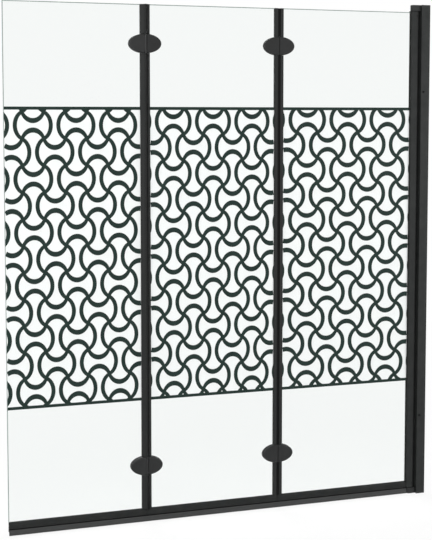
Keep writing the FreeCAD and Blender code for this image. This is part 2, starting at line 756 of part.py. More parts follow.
def cut_other_half(body, side, inner):
    """Takes away the half of an oval plate that lies past the fold line."""
    away = "" if side == "-" else "-"
    other = rectangle(f"{side}{inner}", f"{away}oval_width", "-oval_height", "oval_height")
    pocket_through(body, "fold_side", "XZ_Plane", [other])


def sloping_oval(body, side, crest):
    """An oval plate whose face rises from its rim to a crest at the knuckle, with a rounded rim."""
    slope = f"(({crest} - {LEAF_INNER} - leaf_rim) / (oval_width / 2 - knuckle_radius))"
    low = f"({crest} - {slope} * (oval_width - knuckle_radius))"
    high = f"({crest} + {slope} * (oval_width + knuckle_radius))"
    away = "" if side == "-" else "-"
    oval_plate(body, side, "0", LEAF_INNER, f"{high} - {LEAF_INNER}")
    above = polygon([(f"{side}oval_width", f"-{low}"), (f"{away}oval_width", f"-{high}"),
                     (f"{away}oval_width", f"-{high} - past"), (f"{side}oval_width", f"-{high} - past")])
    face = pocket_through(body, "face", "XY_Plane", [above])
    half = value("oval_width / 2")
    dress(body, "Fillet", "Radius", "leaf_round", face,
          lambda edge: edge.BoundBox.XLength > half and not lies_at(edge, "Y", f"-{LEAF_INNER}"))


def hinge_leaf(fold, level, kind):
    """The leaf of an oval hinge on the side of the fold axis. The knuckle leaf swells up to one long
    knuckle; the fork leaf holds the pin in two short ones on webs. A boss through the glass takes the
    screw of the cover."""
    x, turn = FOLDS[fold]
    side = "-" if kind == "knuckle" else ""
    label = f"{fold}_{level}_{kind}_leaf"
    body = new_body(label)
    sloping_oval(body, side, f"({LEAF_OUTER} + swell)" if kind == "knuckle" else LEAF_OUTER)
    cut_other_half(body, side, "seam_gap")
    round_knuckle = circle("0", "-fold_offset", "knuckle_radius")
    inner_end = "(knuckle_length / 2)"
    outer_start = "(knuckle_length / 2 + knuckle_gap)"
    outer_length = f"(oval_height / 2 - knuckle_gap - {outer_start})"
    if kind == "knuckle":
        clear = circle("0", "-fold_offset", "knuckle_radius + web_gap")
        pocket(body, "upper_clearance", "XY_Plane", [clear], inner_end, "oval_height")
        pocket(body, "lower_clearance", "XY_Plane", [clear], f"-{inner_end} - oval_height", "oval_height")
        pad(body, "knuckle", "XY_Plane", [round_knuckle], f"-{inner_end}", "knuckle_length")
        bore = circle("0", "-fold_offset", "hinge_pin_radius + running_fit")
    else:
        clear = circle("0", "-fold_offset", "knuckle_radius + knuckle_gap")
        pocket(body, "clearance", "XY_Plane", [clear], f"-{outer_start}", f"2 * {outer_start}")
        line = rectangle("0", "knuckle_radius + fold_groove", "-fold_offset", f"-{LEAF_INNER} - line_floor")
        pocket(body, "fold_line", "XY_Plane", [line], f"-{outer_start}", f"2 * {outer_start}")
        web = rectangle("0", "knuckle_radius", "-fold_offset", f"weld - {LEAF_OUTER}")
        for end, start in (("upper", outer_start), ("lower", f"-{outer_start} - {outer_length}")):
            pad(body, f"{end}_web", "XY_Plane", [web], start, outer_length)
            pad(body, f"{end}_knuckle", "XY_Plane", [round_knuckle], start, outer_length)
        bore = circle("0", "-fold_offset", "hinge_pin_radius + press_fit")
    pocket_through(body, "pin_bore", "XY_Plane", [bore])
    fixing = f"{side}fixing_reach"
    boss_end = f"({LEAF_INNER} - press_fit)"
    boss = circle(fixing, "0", "boss_radius")
    pad(body, "boss", "XZ_Plane", [boss], f"-{boss_end}", f"{boss_end} + {LEAF_INNER}")
    thread = circle(fixing, "0", "hinge_screw_radius + screw_fit")
    pocket(body, "thread", "XZ_Plane", [thread], f"-{LEAF_INNER}", f"{LEAF_INNER} + thread_end")
    place(body, x, "0", HINGE_LEVELS[level], turn)
    return keep(label, body)


def hinge_cover(fold, level, kind):
    """The half oval that clamps the glass from the other side, with a sunk seat for its screw and plug."""
    x, turn = FOLDS[fold]
    side = "-" if kind == "knuckle" else ""
    label = f"{fold}_{level}_{kind}_cover"
    body = new_body(label)
    plate = oval_plate(body, side, "0", f"-{COVER_OUTER}", "cover_thickness")
    dress(body, "Fillet", "Radius", "cover_round", plate, lambda edge: lies_at(edge, "Y", COVER_OUTER))
    cut_other_half(body, side, "seam_gap")
    fixing = f"{side}fixing_reach"
    plug_seat = circle(fixing, "0", "plug_radius")
    pocket(body, "plug_seat", "XZ_Plane", [plug_seat], f"-{COVER_OUTER} - past", "plug_thickness + past")
    head_seat = circle(fixing, "0", "hinge_head_radius + screw_fit")
    pocket(body, "head_seat", "XZ_Plane", [head_seat], f"-{COVER_OUTER}",
           "plug_thickness + hinge_head_height")
    pocket_through(body, "screw_hole", "XZ_Plane", [circle(fixing, "0", "hinge_screw_radius + screw_fit")])
    place(body, x, "0", HINGE_LEVELS[level], turn)
    return keep(label, body)


def hinge_pads(fold, level, kind):
    """The two pads of one hinge half, between metal and glass. The one on the leaf has a collar that lines
    the hole in the glass."""
    x, turn = FOLDS[fold]
    side = "-" if kind == "knuckle" else ""
    fixing = f"{side}fixing_reach"
    pads = []
    for face, start in (("leaf", GLASS_HALF), ("cover", f"-{LEAF_INNER}")):
        body = new_body(f"{fold}_{level}_{kind}_{face}_pad")
        oval_plate(body, side, "pad_inset", start, "pad_thickness")
        cut_other_half(body, side, "edge_gap")
        if face == "leaf":
            collar = circle(fixing, "0", "boss_radius + press_fit + collar_wall")
            pad(body, "collar", "XZ_Plane", [collar], f"-{GLASS_HALF}", "glass_thickness")
        pocket_through(body, "boss_hole", "XZ_Plane", [circle(fixing, "0", "boss_radius + press_fit")])
        pads.append(place(body, x, "0", HINGE_LEVELS[level], turn))
    return pads


def hinge_screw(fold, level, kind):
    """The screw from the cover into the boss and the leaf, and the plug that hides it."""
    x, _ = FOLDS[fold]
    back, inward = ("", TO_FRONT) if fold == "outer" else ("-", TO_BACK)
    away = "-" if (kind == "knuckle") == (fold == "outer") else "+"
    fixing = f"{x} {away} fixing_reach"
    z = HINGE_LEVELS[level]
    name = f"{fold}_{level}_{kind}"
    sunk = f"({COVER_OUTER} - plug_thickness)"
    head = cylinder(f"{name}_screw_head", "hinge_head_radius", "hinge_head_height",
                    fixing, f"{back}{sunk}", z, inward)
    shank = cylinder(f"{name}_screw_shank", "hinge_screw_radius", f"{sunk} + hinge_screw_end",
                     fixing, f"{back}{sunk}", z, inward)
    plug = cylinder(f"{name}_plug", "plug_radius - press_fit", "plug_thickness",
                    fixing, f"{back}{COVER_OUTER}", z, inward)
    return fuse(f"{name}_screw", [head, shank]), plug


def hinge_pins(fold):
    """The pins of the two hinges on a fold line, held in their fork leaves."""
    x, _ = FOLDS[fold]
    axis_y = "-fold_offset" if fold == "outer" else "fold_offset"
    length = "(oval_height - 2 * knuckle_gap)"
    group(f"{fold}_hinge_pins", [cylinder(f"{fold}_{level}_pin", "hinge_pin_radius", length,
                                          x, axis_y, f"{z} - {length} / 2")
                                 for level, z in HINGE_LEVELS.items()])


HINGE_HALVES = {
    # which fold line and which half of its hinges each panel carries
    "outer_panel": [("outer", "knuckle")],
    "middle_panel": [("outer", "fork"), ("inner", "fork")],
    "wall_panel": [("inner", "knuckle")],
}


def hinges_of(panel):
    """All the hinge pieces that a panel carries."""
    pads = []
    screws = []
    plugs = []
    for fold, kind in HINGE_HALVES[panel]:
        edge_seal(fold, "bead" if kind == "knuckle" else "groove")
        for level in HINGE_LEVELS:
            hinge_leaf(fold, level, kind)
            hinge_cover(fold, level, kind)
            pads.extend(hinge_pads(fold, level, kind))
            screw, plug = hinge_screw(fold, level, kind)
            screws.append(screw)
            plugs.append(plug)
    group(f"{panel}_hinge_pads", pads)
    group(f"{panel}_hinge_screws", screws)
    group(f"{panel}_screw_plugs", plugs)


def build():
    wall_channel()
    jamb_profile()
    jamb_seal()
    end_cap("bottom_cap", UPRIGHT, "0")
    end_cap("top_cap", UPSIDE_DOWN, "profile_height")
    pivot_pins()
    side_screws()
    cap_screws()
    pivot_post()
    post_gasket()
    pivot_bushes()
    bush_screws()
    for panel in PANELS:
        glass_pane(panel)
        bottom_rail(panel)
        drip_seal(panel)
        hinges_of(panel)
    for fold in FOLDS:
        hinge_pins(fold)
    DOC.recompute()


def check():
    """Stops on a failed object, an empty or faulty shape, and a pocket that takes nothing away."""
    for thing in DOC.Objects:
        if "Invalid" in thing.State or "Error" in thing.State:
            raise RuntimeError(f"{thing.Label} failed: {thing.State}")
        if thing.TypeId == "PartDesign::Pocket":
            if thing.Shape.Volume > thing.BaseFeature.Shape.Volume - LEAST_CUT:
                raise RuntimeError(f"{thing.Label} takes nothing away")
    for label, thing in NODES.items():
        if thing.Shape.isNull() or not thing.Shape.isValid() or not thing.Shape.Solids:
            raise RuntimeError(f"{label} has no sound solid")


def write():
    os.makedirs("parts", exist_ok=True)
    for label, thing in NODES.items():
        thing.Shape.exportStep(f"parts/{label}.step")
        print(f"{label}: {len(thing.Shape.Solids)} solid(s), {thing.Shape.Volume / 1000:.1f} cm3")


build()
check()
write()
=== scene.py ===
# %% [markdown]
# # Dressing a folding bath screen
#
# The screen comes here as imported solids: three glass panes that fold like a Z, black seals and oval hinges
# between them, rails with drip seals along the foot, and a post that turns in a profile on the wall. The
# solids already have their true shapes, so this lesson adds what a solid cannot carry: the printed band on
# the glass, the softly rounded edges of the long strips, and a finish for every surface.
#
# Everything is in metres and in the frame of the solids. X = 0 is the wall, the panels reach out along -X,
# the bath is on the -Y side and Z = 0 is the bath rim.

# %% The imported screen
import math

import bmesh
import bpy
import numpy as np
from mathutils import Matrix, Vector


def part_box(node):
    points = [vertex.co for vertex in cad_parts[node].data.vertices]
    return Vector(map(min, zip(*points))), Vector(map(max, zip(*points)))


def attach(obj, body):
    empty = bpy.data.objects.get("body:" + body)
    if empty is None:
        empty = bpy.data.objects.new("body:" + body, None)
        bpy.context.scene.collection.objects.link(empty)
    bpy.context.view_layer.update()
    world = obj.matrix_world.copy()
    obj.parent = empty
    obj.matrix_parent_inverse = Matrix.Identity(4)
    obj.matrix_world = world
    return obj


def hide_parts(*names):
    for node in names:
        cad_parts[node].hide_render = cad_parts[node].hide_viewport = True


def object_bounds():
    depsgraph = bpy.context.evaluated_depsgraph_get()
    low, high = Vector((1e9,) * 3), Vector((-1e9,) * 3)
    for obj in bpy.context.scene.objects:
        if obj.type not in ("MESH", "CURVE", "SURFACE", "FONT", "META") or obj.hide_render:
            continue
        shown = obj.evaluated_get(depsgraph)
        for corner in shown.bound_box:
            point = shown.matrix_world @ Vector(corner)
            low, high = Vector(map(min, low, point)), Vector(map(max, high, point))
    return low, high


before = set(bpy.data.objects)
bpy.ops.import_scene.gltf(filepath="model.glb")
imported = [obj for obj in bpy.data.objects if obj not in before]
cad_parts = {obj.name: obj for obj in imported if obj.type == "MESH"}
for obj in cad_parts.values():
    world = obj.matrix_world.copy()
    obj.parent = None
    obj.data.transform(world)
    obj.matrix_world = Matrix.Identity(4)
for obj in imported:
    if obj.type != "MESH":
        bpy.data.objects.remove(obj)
cad_low, cad_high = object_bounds()
print("size of the solids in metres:", [round(high - low, 4) for low, high in zip(cad_low, cad_high)])

# %% [markdown]
# ## Camera
#
# The photograph looks along the screen from the left, from about chest height. Its uprights are almost
# parallel, as when a lens is shifted instead of tilted. The place, the turn and the lens below come from
# fitting the corners of the panes. A part of the shift is given to a small tilt, so that other views, which
# keep the shift, still hold the whole screen.

# %% Camera
IMAGE_WIDTH = 432
IMAGE_HEIGHT = 540
FOCAL_PIXELS = 1132.8
LENS_SHIFT = -0.135
CAMERA_PLACE = (-1.5292, -2.9092, 1.0855)
CAMERA_TURN = 17.246
CAMERA_TILT = 4.031


def set_up_camera():
    """A camera whose lens is given in pixels of the picture. It turns right and tilts down, in degrees."""
    lens = bpy.data.cameras.new("camera")
    lens.lens = FOCAL_PIXELS / max(IMAGE_WIDTH, IMAGE_HEIGHT) * lens.sensor_width
    lens.shift_y = LENS_SHIFT
    camera = bpy.data.objects.new("camera", lens)
    camera.location = CAMERA_PLACE
    camera.rotation_euler = (math.radians(90 - CAMERA_TILT), 0, math.radians(-CAMERA_TURN))
    bpy.context.scene.collection.objects.link(camera)
    bpy.context.scene.camera = camera
    return camera


camera = set_up_camera()
bpy.context.scene.view_settings.view_transform = "Standard"
print("lens in millimetres:", round(camera.data.lens, 2))

# %% [markdown]
# ## Helpers for meshes
#
# Each new piece is an array of points. The first helper turns points and faces into an object at the origin.
# The second carries a profile along a path: it takes one row of points for each place on the path and joins
# the rows with quads, and two flat faces close the ends. The third puts several such strips into one piece.


# %% Meshes from arrays
def piece_from(name, points, faces, material, body):
    """Puts points and faces into a mesh that rides on a body, with its faces turned outwards."""
    mesh = bpy.data.meshes.new(name)
    mesh.from_pydata(points.tolist(), [], faces)
    shell = bmesh.new()
    shell.from_mesh(mesh)
    bmesh.ops.recalc_face_normals(shell, faces=shell.faces)
    shell.to_mesh(mesh)
    shell.free()
    mesh.materials.append(material)
    piece = bpy.data.objects.new(name, mesh)
    bpy.context.scene.collection.objects.link(piece)
    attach(piece, body)
    return piece


def carried(rows, first):
    """Faces for a profile carried along a path: points p and p + 1 of row r join the same points of row
    r + 1, and the first and the last row are closed by a face each. Points are numbered from first."""
    count, around = rows.shape[:2]
    index = first + np.arange(count * around).reshape(count, around)
    here, there = index[:-1], index[1:]
    quads = np.stack([here, np.roll(here, -1, 1), np.roll(there, -1, 1), there], -1).reshape(-1, 4)
    return quads.tolist() + [index[0].tolist(), index[-1].tolist()]


def joined(strips):
    """Several carried profiles as one set of points and faces."""
    points = np.concatenate([rows.reshape(-1, 3) for rows in strips])
    faces = []
    first = 0
    for rows in strips:
        faces += carried(rows, first)
        first += rows.shape[0] * rows.shape[1]
    return points, faces


print("mesh helpers ready")

# %% [markdown]
# ## Helpers for materials
#
# A material is a tree of nodes, and every node needs the same few steps: make it, set it, link it. The first
# helper does that in one call, because it takes values and sockets alike. The others wrap what comes back in
# almost every material: an empty tree, a range that is stretched to another, a mix of two colours and the
# final shader.

# %% Nodes
FIRST_COLOUR, SECOND_COLOUR, MIXED_COLOUR = 6, 7, 2


def add_node(tree, kind, inputs=None, **settings):
    """A node with its settings, and with its inputs set to values or linked from sockets."""
    node = tree.nodes.new(kind)
    for name, setting in settings.items():
        setattr(node, name, setting)
    for name, given in (inputs or {}).items():
        if isinstance(given, bpy.types.NodeSocket):
            tree.links.new(given, node.inputs[name])
        else:
            node.inputs[name].default_value = given
    return node


def new_material(name):
    """An empty material, and its node tree with an output."""
    material = bpy.data.materials.new(name)
    material.use_nodes = True
    tree = material.node_tree
    tree.nodes.clear()
    return material, tree, tree.nodes.new("ShaderNodeOutputMaterial")


def stretch(tree, value, low, high, to_low=0.0, to_high=1.0):
    """Maps the range from low to high onto the range from to_low to to_high, and holds the ends beyond it."""
    ranges = {"Value": value, "From Min": low, "From Max": high, "To Min": to_low, "To Max": to_high}
    return add_node(tree, "ShaderNodeMapRange", ranges).outputs["Result"]


def mix_colours(tree, share, first, second):
    """The colour that lies a share of the way from the first to the second. A Mix node names its sockets for
    numbers, vectors and colours alike, so the ones for colours go by their place."""
    mix = add_node(tree, "ShaderNodeMix", {"Factor": share, FIRST_COLOUR: first, SECOND_COLOUR: second},
                   data_type="RGBA")
    return mix.outputs[MIXED_COLOUR]


def shade(tree, output, inputs):
    """The shader of an opaque or frosted surface, linked to the output of its material."""
    surface = add_node(tree, "ShaderNodeBsdfPrincipled", inputs)
    tree.links.new(surface.outputs[0], output.inputs["Surface"])


print("node helpers ready")

# %% [markdown]
# ## Studio
#
# The screen was photographed on pure white. A floor and a world that glow white for the camera would lose the
# shadow, so near the screen the floor mixes a glow with plain diffuse white: the diffuse share still darkens
# under the rails. Further off the glow takes over, and no horizon shows. Reflections and rays through the
# glass see the same white. Three large soft lamps light the panes from the front, from the wall side and from
# behind.

# %% Floor and world
FLOOR_LEVEL = -0.0012
FLOOR_REACH = 14.0
FLOOR_PLACES = 9
FLOOR_WHITE = (0.82, 0.82, 0.82, 1)
NEAR_REACH = 0.9
FAR_REACH = 3.2
GLOW_SHARE = 0.82
GLOW_STRENGTH = 1.05
PURE_WHITE = (1, 1, 1, 1)
SURROUND_LIGHT = 0.55
MIDDLE = tuple((low + high) / 2 for low, high in zip(cad_low, cad_high))


def seen_directly(tree):
    """A value of 1 for rays from the camera, from reflections and through glass, and 0 for the rest."""
    path = add_node(tree, "ShaderNodeLightPath").outputs
    seen = path["Is Camera Ray"]
    for kind in ("Is Glossy Ray", "Is Transmission Ray"):
        seen = add_node(tree, "ShaderNodeMath", {0: seen, 1: path[kind]}, operation="MAXIMUM").outputs[0]
    return seen


def make_floor_finish():
    """Diffuse white mixed with a white glow, whose share grows with the distance from the screen."""
    material, tree, output = new_material("studio_floor")
    matt = add_node(tree, "ShaderNodeBsdfDiffuse", {"Color": FLOOR_WHITE})
    place = add_node(tree, "ShaderNodeTexCoord").outputs["Object"]
    away = add_node(tree, "ShaderNodeVectorMath", {0: place, 1: (MIDDLE[0], MIDDLE[1], 0)},
                    operation="DISTANCE").outputs["Value"]
    glow_part = stretch(tree, away, NEAR_REACH, FAR_REACH, GLOW_SHARE, 1.0)
    strength = stretch(tree, away, NEAR_REACH, FAR_REACH, GLOW_STRENGTH, 1.0)
    glow = add_node(tree, "ShaderNodeEmission", {"Color": PURE_WHITE, "Strength": strength})
    share = add_node(tree, "ShaderNodeMath", {0: seen_directly(tree), 1: glow_part}, operation="MULTIPLY")
    mixed = add_node(tree, "ShaderNodeMixShader",
                     {0: share.outputs[0], 1: matt.outputs[0], 2: glow.outputs[0]})
    tree.links.new(mixed.outputs[0], output.inputs["Surface"])
    return material


def lay_floor():
    """A level square as a grid of two parameters, from -reach to reach in X and in Y."""
    across = np.linspace(-FLOOR_REACH, FLOOR_REACH, FLOOR_PLACES)
    x, y = np.meshgrid(across, across)
    points = np.stack([x, y, np.full_like(x, FLOOR_LEVEL)], -1).reshape(-1, 3)
    index = np.arange(points.shape[0]).reshape(x.shape)
    quads = np.stack([index[:-1, :-1], index[:-1, 1:], index[1:, 1:], index[1:, :-1]], -1).reshape(-1, 4)
    mesh = bpy.data.meshes.new("floor")
    mesh.from_pydata(points.tolist(), [], quads.tolist())
    floor = bpy.data.objects.new("floor", mesh)
    bpy.context.scene.collection.objects.link(floor)
    mesh.materials.append(make_floor_finish())


def fill_world():
    """A white surround that is seen at full white and lights the screen at a lower strength."""
    world = bpy.data.worlds.new("studio")
    bpy.context.scene.world = world
    world.use_nodes = True
    tree = world.node_tree
    tree.nodes.clear()
    strength = stretch(tree, seen_directly(tree), 0.0, 1.0, SURROUND_LIGHT, 1.0)
    surround = add_node(tree, "ShaderNodeBackground", {"Color": PURE_WHITE, "Strength": strength})
    output = add_node(tree, "ShaderNodeOutputWorld")
    tree.links.new(surround.outputs[0], output.inputs["Surface"])


lay_floor()
fill_world()
print("floor", 2 * FLOOR_REACH, "metres wide and world:", bpy.context.scene.world.name)

# %% Lamps
# place, width of the square and power in watts
LAMPS = {
    "front_lamp": ((-2.6, -3.0, 1.6), 1.8, 58),
    "wall_side_lamp": ((1.9, -2.0, 1.0), 1.4, 25),
    "back_lamp": ((-0.9, 2.6, 3.8), 1.8, 48),
}


def hang_lamp(name, place, size, power):
    """A square soft lamp that faces the middle of the screen."""
    lamp = bpy.data.lights.new(name, "AREA")
    lamp.size = size
    lamp.energy = power
    holder = bpy.data.objects.new(name, lamp)
    holder.location = place
    aim = np.array(MIDDLE) - np.array(place)
    turn = math.atan2(aim[1], aim[0]) - math.pi / 2
    rise = math.atan2(aim[2], math.hypot(aim[0], aim[1])) + math.pi / 2
    holder.rotation_euler = (rise, 0, turn)
    bpy.context.scene.collection.objects.link(holder)


for name, (place, size, power) in LAMPS.items():
    hang_lamp(name, place, size, power)
print("lamps:", ", ".join(LAMPS))

# %% [markdown]
# ## Effects that several finishes share
#
# Three effects come back on many surfaces, so each is a node group that is built once. The first is the fine
# grain of powder coat and moulded plastic, with a slow change of tone over the piece. The second draws long
# faint lines along a strip, as extruding leaves them. The third is the uneven gloss that hands and water
# leave. All take the place on the piece as a vector, so each material feeds them its own Object coordinates.

# %% Shared node groups
# most of a noise lies between these values
NOISE_LOW, NOISE_HIGH = 0.3, 0.7
TONE_LOW, TONE_HIGH = 0.35, 0.65
SLOW_SHARE = 0.025


def new_group(name, values):
    """A node group with a vector input, named numbers as further inputs, and its two end nodes."""
    group = bpy.data.node_groups.new(name, "ShaderNodeTree")
    group.interface.new_socket("Vector", in_out="INPUT", socket_type="NodeSocketVector")
    for label, number in values.items():
        socket = group.interface.new_socket(label, in_out="INPUT", socket_type="NodeSocketFloat")
        socket.default_value = number
    return group, group.nodes.new("NodeGroupInput").outputs, group.nodes.new("NodeGroupOutput")


def give_out(group, end, **sockets):
    """Output sockets of a group, each linked from a node's socket."""
    for label, socket in sockets.items():
        group.interface.new_socket(label, in_out="OUTPUT", socket_type="NodeSocketFloat")
        group.links.new(socket, end.inputs[label])


def make_coat_grain():
    """Fine height from noise at Scale per metre, and a slow tone from noise at a fortieth of that."""
    group, start, end = new_group("coat_grain", {"Scale": 1500.0})
    fine = add_node(group, "ShaderNodeTexNoise",
                    {"Vector": start["Vector"], "Scale": start["Scale"], "Detail": 2.0})
    slower = add_node(group, "ShaderNodeMath", {0: start["Scale"], 1: SLOW_SHARE}, operation="MULTIPLY")
    slow = add_node(group, "ShaderNodeTexNoise",
                    {"Vector": start["Vector"], "Scale": slower.outputs[0], "Detail": 3.0})
    tone = stretch(group, slow.outputs["Fac"], TONE_LOW, TONE_HIGH)
    give_out(group, end, Height=fine.outputs["Fac"], Tone=tone)
    return group


def make_drawn_lines():
    """Noise squeezed across a strip and stretched along it: Across X, Y and Z are lines per metre."""
    group, start, end = new_group("drawn_lines", {"Across X": 600.0, "Across Y": 600.0, "Across Z": 2.0})
    rates = add_node(group, "ShaderNodeCombineXYZ", {axis: start[f"Across {axis}"] for axis in "XYZ"})
    spread = add_node(group, "ShaderNodeVectorMath", {0: start["Vector"], 1: rates.outputs[0]},
                      operation="MULTIPLY")
    lines = add_node(group, "ShaderNodeTexNoise", {"Vector": spread.outputs[0], "Scale": 1.0, "Detail": 4.0})
    give_out(group, end, Line=stretch(group, lines.outputs["Fac"], NOISE_LOW, NOISE_HIGH))
    return group


def make_uneven_gloss():
    """A value between Low and High from slow noise, for roughness."""
    group, start, end = new_group("uneven_gloss", {"Scale": 14.0, "Low": 0.35, "High": 0.5})
    cloud = add_node(group, "ShaderNodeTexNoise",
                     {"Vector": start["Vector"], "Scale": start["Scale"], "Detail": 5.0, "Roughness": 0.6})
    gloss = stretch(group, cloud.outputs["Fac"], NOISE_LOW, NOISE_HIGH, start["Low"], start["High"])
    give_out(group, end, Gloss=gloss)
    return group


COAT_GRAIN = make_coat_grain()
DRAWN_LINES = make_drawn_lines()
UNEVEN_GLOSS = make_uneven_gloss()
print("shared effects:", ", ".join(group.name for group in bpy.data.node_groups))

# %% [markdown]
# ## Black coats, plastics and seals
#
# The dark pieces differ less in colour than in gloss and grain. The aluminium is powder coated, with a fine
# pebble; the cast hinges have a smoother satin coat; caps and bushes are moulded plastic; the seals are soft
# vinyl with lines along their length, with painted shade that darkens them towards the seam where two seals
# meet. One function makes them all from the shared groups: two tones mixed by the slow tone, roughness from
# the uneven gloss, a bump from the grain or from the drawn lines, and painted shade in a zone where one is
# given.

# %% How a dark finish is made
# near black of the painted shade in a finish's zone
SHADE_BLACK = (0.0022, 0.0022, 0.0022, 1)
COAT_RELIEF = 0.0002


def grain_and_gloss(tree, grain, gloss):
    """The place on the piece and two of the shared groups that read it: the coat's grain and its gloss."""
    place = add_node(tree, "ShaderNodeTexCoord").outputs["Object"]
    pebble = add_node(tree, "ShaderNodeGroup", {"Vector": place, "Scale": grain}, node_tree=COAT_GRAIN)
    sheen = add_node(tree, "ShaderNodeGroup", {"Vector": place, "Low": gloss[0], "High": gloss[1]},
                     node_tree=UNEVEN_GLOSS)
    return place, pebble.outputs["Tone"], pebble.outputs["Height"], sheen.outputs["Gloss"]


def painted_shade_zone(tree, place, colour, axis, middle, half, fade):
    """Mixes a colour with near black, as painted shade, where the distance from the middle, along an axis, is
    under the half.
    """
    along = add_node(tree, "ShaderNodeSeparateXYZ", {0: place}).outputs[axis]
    offset = add_node(tree, "ShaderNodeMath", {0: along, 1: middle}, operation="SUBTRACT")
    distance = add_node(tree, "ShaderNodeMath", {0: offset.outputs[0]}, operation="ABSOLUTE")
    share = stretch(tree, distance.outputs[0], half, half + fade, 1.0, 0.0)
    return mix_colours(tree, share, colour, SHADE_BLACK)


def dark_finish(name, dark, light, gloss, grain, bump, lines=None, metallic=0.0, shine=0.22, zone=None):
    """Two tones, uneven gloss between two values, and a bump of grain or of lines along the strip. A zone is
    an axis, a middle, a half width and the width over which it fades: there the tone is near black, as
    painted shade."""
    material, tree, output = new_material(name)
    place, tone, height, roughness = grain_and_gloss(tree, grain, gloss)
    if lines is not None:
        rates = {f"Across {axis}": rate for axis, rate in zip("XYZ", lines)}
        drawn = add_node(tree, "ShaderNodeGroup", {"Vector": place, **rates}, node_tree=DRAWN_LINES)
        tone = height = drawn.outputs["Line"]
    colour = mix_colours(tree, tone, (*dark, 1), (*light, 1))
    if zone is not None:
        colour = painted_shade_zone(tree, place, colour, **zone)
    relief = add_node(tree, "ShaderNodeBump", {"Height": height, "Strength": bump, "Distance": COAT_RELIEF})
    shade(tree, output, {"Base Color": colour, "Roughness": roughness, "Normal": relief.outputs["Normal"],
                         "Specular IOR Level": shine, "Metallic": metallic})
    return material


print("one function for all dark finishes")

# %% [markdown]
# Some finishes have a zone of painted shade: a painted shadow line on the drip seal under the rail, a painted
# shadow line along the seam across each hinge, and painted shade on the edge seals towards the seam where two
# seals meet. The outer fold line lies in front of the glass and the inner one behind it, so these seams lie
# at different places from the fold.

# %% Dark finishes
ALONG_Z = (700.0, 700.0, 1.5)
ALONG_X = (1.5, 700.0, 700.0)
ALL_ROUND = (900.0, 900.0, 900.0)
OUTER_PINS, INNER_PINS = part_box("outer_hinge_pins"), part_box("inner_hinge_pins")
OUTER_FOLD = (OUTER_PINS[0].x + OUTER_PINS[1].x) / 2
INNER_FOLD = (INNER_PINS[0].x + INNER_PINS[1].x) / 2
SEAM_OFFSET = 0.0036
SEAL_SHADE_OFFSET = 0.0035
# painted shadow: a dark band on the drip seal just under the lower edge of the rail
RAIL_SHADOW_LINE = {"axis": "Z", "middle": 0.0170, "half": 0.0014, "fade": 0.0004}
# painted shadow: a dark line on the hinge leaves and covers along the seam of each hinge
OUTER_SEAM_SHADOW = {"axis": "X", "middle": OUTER_FOLD + SEAM_OFFSET, "half": 0.0010, "fade": 0.0002}
INNER_SEAM_SHADOW = {"axis": "X", "middle": INNER_FOLD, "half": 0.0010, "fade": 0.0002}
# painted shade: the edge seals turn dark towards the seam where two seals meet
OUTER_SEAL_SHADE = {"axis": "X", "middle": OUTER_FOLD + SEAL_SHADE_OFFSET, "half": 0.0014, "fade": 0.0065}
INNER_SEAL_SHADE = {"axis": "X", "middle": INNER_FOLD, "half": 0.0036, "fade": 0.0010}

POWDER = {"gloss": (0.38, 0.50), "grain": 1600, "bump": 0.25}
PROFILE_COAT = dark_finish("profile_coat", (0.0175, 0.0191, 0.0186), (0.0232, 0.0249, 0.0243), **POWDER,
                           shine=0.17)
RAIL_COAT = dark_finish("rail_coat", (0.0108, 0.0120, 0.0116), (0.0150, 0.0163, 0.0158), **POWDER, shine=0.18)
POST_COAT = dark_finish("post_coat", (0.0145, 0.0159, 0.0154), (0.0192, 0.0206, 0.0201), **POWDER, shine=0.17)

SATIN = {"dark": (0.0135, 0.0141, 0.0141), "light": (0.0178, 0.0185, 0.0186), "gloss": (0.32, 0.44),
         "grain": 900, "bump": 0.12, "shine": 0.25}
# hinge coats with a painted shadow line along the seam
OUTER_HINGE_COAT = dark_finish("outer_hinge_coat", **SATIN, zone=OUTER_SEAM_SHADOW)
INNER_HINGE_COAT = dark_finish("inner_hinge_coat", **SATIN, zone=INNER_SEAM_SHADOW)
CAP_PLASTIC = dark_finish("cap_plastic", (0.0200, 0.0209, 0.0209), (0.0265, 0.0276, 0.0276), (0.46, 0.58),
                          grain=1100, bump=0.35)

VINYL = {"grain": 1500, "bump": 0.15}
EDGE_VINYL = {"dark": (0.0138, 0.0148, 0.0145), "light": (0.0216, 0.0229, 0.0224), "gloss": (0.42, 0.56),
              "lines": ALONG_Z, "shine": 0.18, **VINYL}
# edge seals with painted shade towards the seam where they meet
OUTER_VINYL = dark_finish("outer_edge_vinyl", **EDGE_VINYL, zone=OUTER_SEAL_SHADE)
INNER_VINYL = dark_finish("inner_edge_vinyl", **EDGE_VINYL, zone=INNER_SEAL_SHADE)
JAMB_VINYL = dark_finish("jamb_vinyl", (0.0120, 0.0128, 0.0126), (0.0180, 0.0190, 0.0187), (0.50, 0.62),
                         lines=ALONG_Z, shine=0.18, **VINYL)
# drip seal with a painted shadow line just under the rail
DRIP_VINYL = dark_finish("drip_vinyl", (0.0331, 0.0344, 0.0339), (0.0435, 0.0452, 0.0448), (0.42, 0.56),
                         lines=ALONG_X, zone=RAIL_SHADOW_LINE, **VINYL)

GASKET_RUBBER = dark_finish("gasket_rubber", (0.0100, 0.0100, 0.0100), (0.0150, 0.0150, 0.0150), (0.60, 0.75),
                            grain=1300, bump=0.3, shine=0.15)
BUSH_NYLON = dark_finish("bush_nylon", (0.0200, 0.0200, 0.0200), (0.0270, 0.0270, 0.0270), (0.42, 0.55),
                         grain=1200, bump=0.2)
